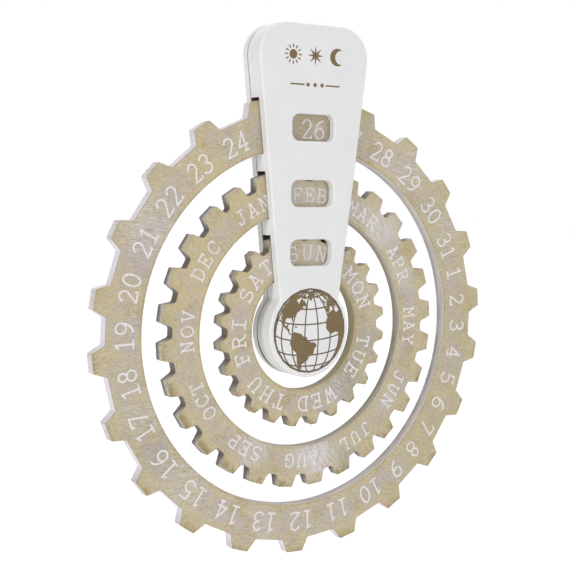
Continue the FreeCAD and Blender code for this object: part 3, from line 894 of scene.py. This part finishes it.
def sun_outlines(x, z):
    """A disc with rays round it."""
    outlines = [disc(x, z, SUN_RADIUS)]
    for index in range(SUN_RAYS):
        turn = index * 2 * math.pi / SUN_RAYS
        ray = [(x + reach * math.cos(turn), z + reach * math.sin(turn)) for reach in RAY_REACH]
        outlines.append(ribbon(ray, RAY_HALF))
    return outlines


def star_outline(x, z):
    outline = []
    for index in range(2 * STAR_POINTS):
        reach = STAR_NOTCH if index % 2 else STAR_TIP
        turn = math.pi / 2 + index * math.pi / STAR_POINTS
        outline.append((x + reach * math.cos(turn), z + reach * math.sin(turn)))
    return outline


def moon_outline(x, z):
    """A crescent that opens to the right."""
    outer = arc(x, z, MOON_RADIUS, MOON_RADIUS, MOON_HORN, 360 - MOON_HORN)
    inner = arc(x + MOON_SHIFT, z, MOON_BITE, MOON_BITE, 360 - BITE_HORN, BITE_HORN)
    return outer + inner


def head_ornament():
    """Sun, star and moon in a row, and below them a rule with three dots."""
    outlines = sun_outlines(-ORNAMENT_STEP, ORNAMENT_Z)
    outlines.append(star_outline(0, ORNAMENT_Z))
    outlines.append(moon_outline(ORNAMENT_STEP, ORNAMENT_Z))
    for start, end in RULE_RUNS:
        outlines.append(ribbon([(start, RULE_Z), (end, RULE_Z)], RULE_HALF))
    outlines.extend(disc(x, RULE_Z, DOT_RADIUS) for x in DOT_PLACES)
    return united(outlines)


# Assembly

def dress_cad_nodes(frame):
    """Gives each CAD node its material."""
    paint = white_paint()
    woods = {f"{ring}_ring": ring_wood(f"{ring}_wood", RINGS[ring], LOOKS[ring]) for ring in RINGS}
    plate = steel("zinc_plate", shade=0.62, roughness=0.38)
    screw = steel("screw_steel", shade=0.5, roughness=0.3)
    for name, node in frame["nodes"].items():
        if name in ("front_block", "back_plate"):
            material = paint
        elif name in woods:
            material = woods[name]
        elif name == "hanger_plate":
            material = plate
        else:
            material = screw
        node.data.materials.clear()
        node.data.materials.append(material)


def date_labels():
    return [(str(day), start + pitch * (day - first), radius)
            for first, last, start, pitch, radius in DATES
            for day in range(first, last + 1)]


def add_dial_print():
    """Labels on the rings."""
    pale = worn_print("pale_ink", PALE_INK, PALE_INK_WORN, share=0.8, seed=3)
    dials = {"date": date_labels(), "month": MONTHS, "weekday": WEEKDAYS}
    for dial, labels in dials.items():
        printed = dial_print(labels, RINGS[dial]["centre"], **LETTERING[dial])
        printed.piece(f"{dial}_labels", pale, f"{dial}_dial", "pale_lettering")


def add_arm_print():
    """The globe on the foot and the ornament on the head."""
    line_ink = worn_print("line_ink", LINE_INK, LINE_INK_WORN, share=0.6, seed=11)
    land_ink = worn_print("land_ink", LAND_INK, LAND_INK_WORN, share=0.6, seed=23)
    lines = Print()
    lines.add(globe_lines(), on_globe, FACE)
    lines.piece("globe_lines", line_ink, "arm", "brown_print")
    lands = Print()
    lands.add(globe_lands(), on_globe, FACE - PROUD / 2)
    lands.piece("globe_lands", land_ink, "arm", "brown_print")
    ornament = Print()
    ornament.add(head_ornament(), lambda point: point, FACE)
    ornament.piece("head_ornament", land_ink, "arm", "brown_print")


def add_camera():
    """The photo's camera."""
    azimuth, elevation, roll = (math.radians(angle) for angle in (AZIMUTH, ELEVATION, ROLL))
    back = Vector((math.sin(azimuth) * math.cos(elevation),
                   -math.cos(azimuth) * math.cos(elevation), math.sin(elevation)))
    level = (-back).cross(Vector((0, 0, 1))).normalized()
    upright = back.cross(level)
    right = level * math.cos(roll) + upright * math.sin(roll)
    up = upright * math.cos(roll) - level * math.sin(roll)
    data = bpy.data.cameras.new("camera")
    data.sensor_width = SENSOR_WIDTH
    data.lens = FOCAL / FRAME_WIDTH * SENSOR_WIDTH
    data.clip_start, data.clip_end = CLIP_RANGE
    camera = bpy.data.objects.new("camera", data)
    bpy.context.scene.collection.objects.link(camera)
    place = Vector(AIM) * MM + back * DISTANCE * MM
    camera.matrix_world = Matrix((
        (right.x, up.x, back.x, place.x),
        (right.y, up.y, back.y, place.y),
        (right.z, up.z, back.z, place.z),
        (0, 0, 0, 1),
    ))
    bpy.context.scene.camera = camera


def add_area(name, place, aim, size, power):
    """A soft light. power is in watts."""
    data = bpy.data.lights.new(name, "AREA")
    data.shape = "RECTANGLE"
    data.size, data.size_y = size
    data.energy = power
    light = bpy.data.objects.new(name, data)
    bpy.context.scene.collection.objects.link(light)
    light.location = place
    light.rotation_euler = (Vector(aim) - Vector(place)).to_track_quat("-Z", "Y").to_euler()


def studio_world():
    """Surroundings that look plain white.

    The light they give is stronger from above, weaker from the front and next to none from
    behind on the left.
    """
    world = bpy.data.worlds.new("studio")
    world.use_nodes = True
    sky = Nodes(world.node_tree)
    way = sky.node("ShaderNodeTexCoord", {}, "Generated")
    sideways, backward, upward = (sky.coordinate(way, axis) for axis in "XYZ")
    behind_left = sky.number("MULTIPLY", sky.step(sideways, 0.1, -0.3), sky.step(backward, -0.3, 0.2))
    front = sky.step(backward, 0.0, -0.5, 0.0, 0.47)
    from_above = sky.step(upward, 0.15, 0.7, 1.0, 1.55)
    strength = sky.number("SUBTRACT", from_above, front)
    strength = sky.number("SUBTRACT", strength, sky.step(behind_left, 0.0, 1.0))
    seen = sky.node("ShaderNodeLightPath", {}, "Is Camera Ray")
    strength = sky.number("MAXIMUM", strength, seen)
    background = world.node_tree.nodes["Background"]
    background.inputs["Color"].default_value = (1, 1, 1, 1)
    world.node_tree.links.new(strength, background.inputs["Strength"])
    return world


def add_floor():
    """White floor below the part."""
    mesh = bpy.data.meshes.new("floor")
    corners = ((-1, -1), (1, -1), (1, 1), (-1, 1))
    vertices = [(x * FLOOR_HALF, y * FLOOR_HALF, FLOOR_Z) for x, y in corners]
    mesh.from_pydata(vertices, [], [(0, 1, 2, 3)])
    surface = Surface("floor_paint", roughness=0.9, specular=0.1)
    surface.shader.inputs["Base Color"].default_value = (1, 1, 1, 1)
    mesh.materials.append(surface.material)
    floor = bpy.data.objects.new("floor", mesh)
    bpy.context.scene.collection.objects.link(floor)


def add_stage():
    """White floor, white surroundings and two soft lights."""
    add_floor()
    bpy.context.scene.world = studio_world()
    for name, light in LIGHTS.items():
        add_area(name, light["place"], LIGHT_AIM, light["size"], light["power"])
    bpy.context.scene.view_settings.view_transform = "Standard"


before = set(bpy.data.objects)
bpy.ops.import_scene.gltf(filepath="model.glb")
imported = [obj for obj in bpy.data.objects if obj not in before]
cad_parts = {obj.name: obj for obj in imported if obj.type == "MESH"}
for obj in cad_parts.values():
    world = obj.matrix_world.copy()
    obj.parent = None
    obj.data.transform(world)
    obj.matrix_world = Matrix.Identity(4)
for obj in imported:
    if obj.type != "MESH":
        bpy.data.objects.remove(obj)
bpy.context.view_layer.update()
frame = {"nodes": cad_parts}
dress_cad_nodes(frame)
add_dial_print()
add_arm_print()
add_camera()
add_stage()
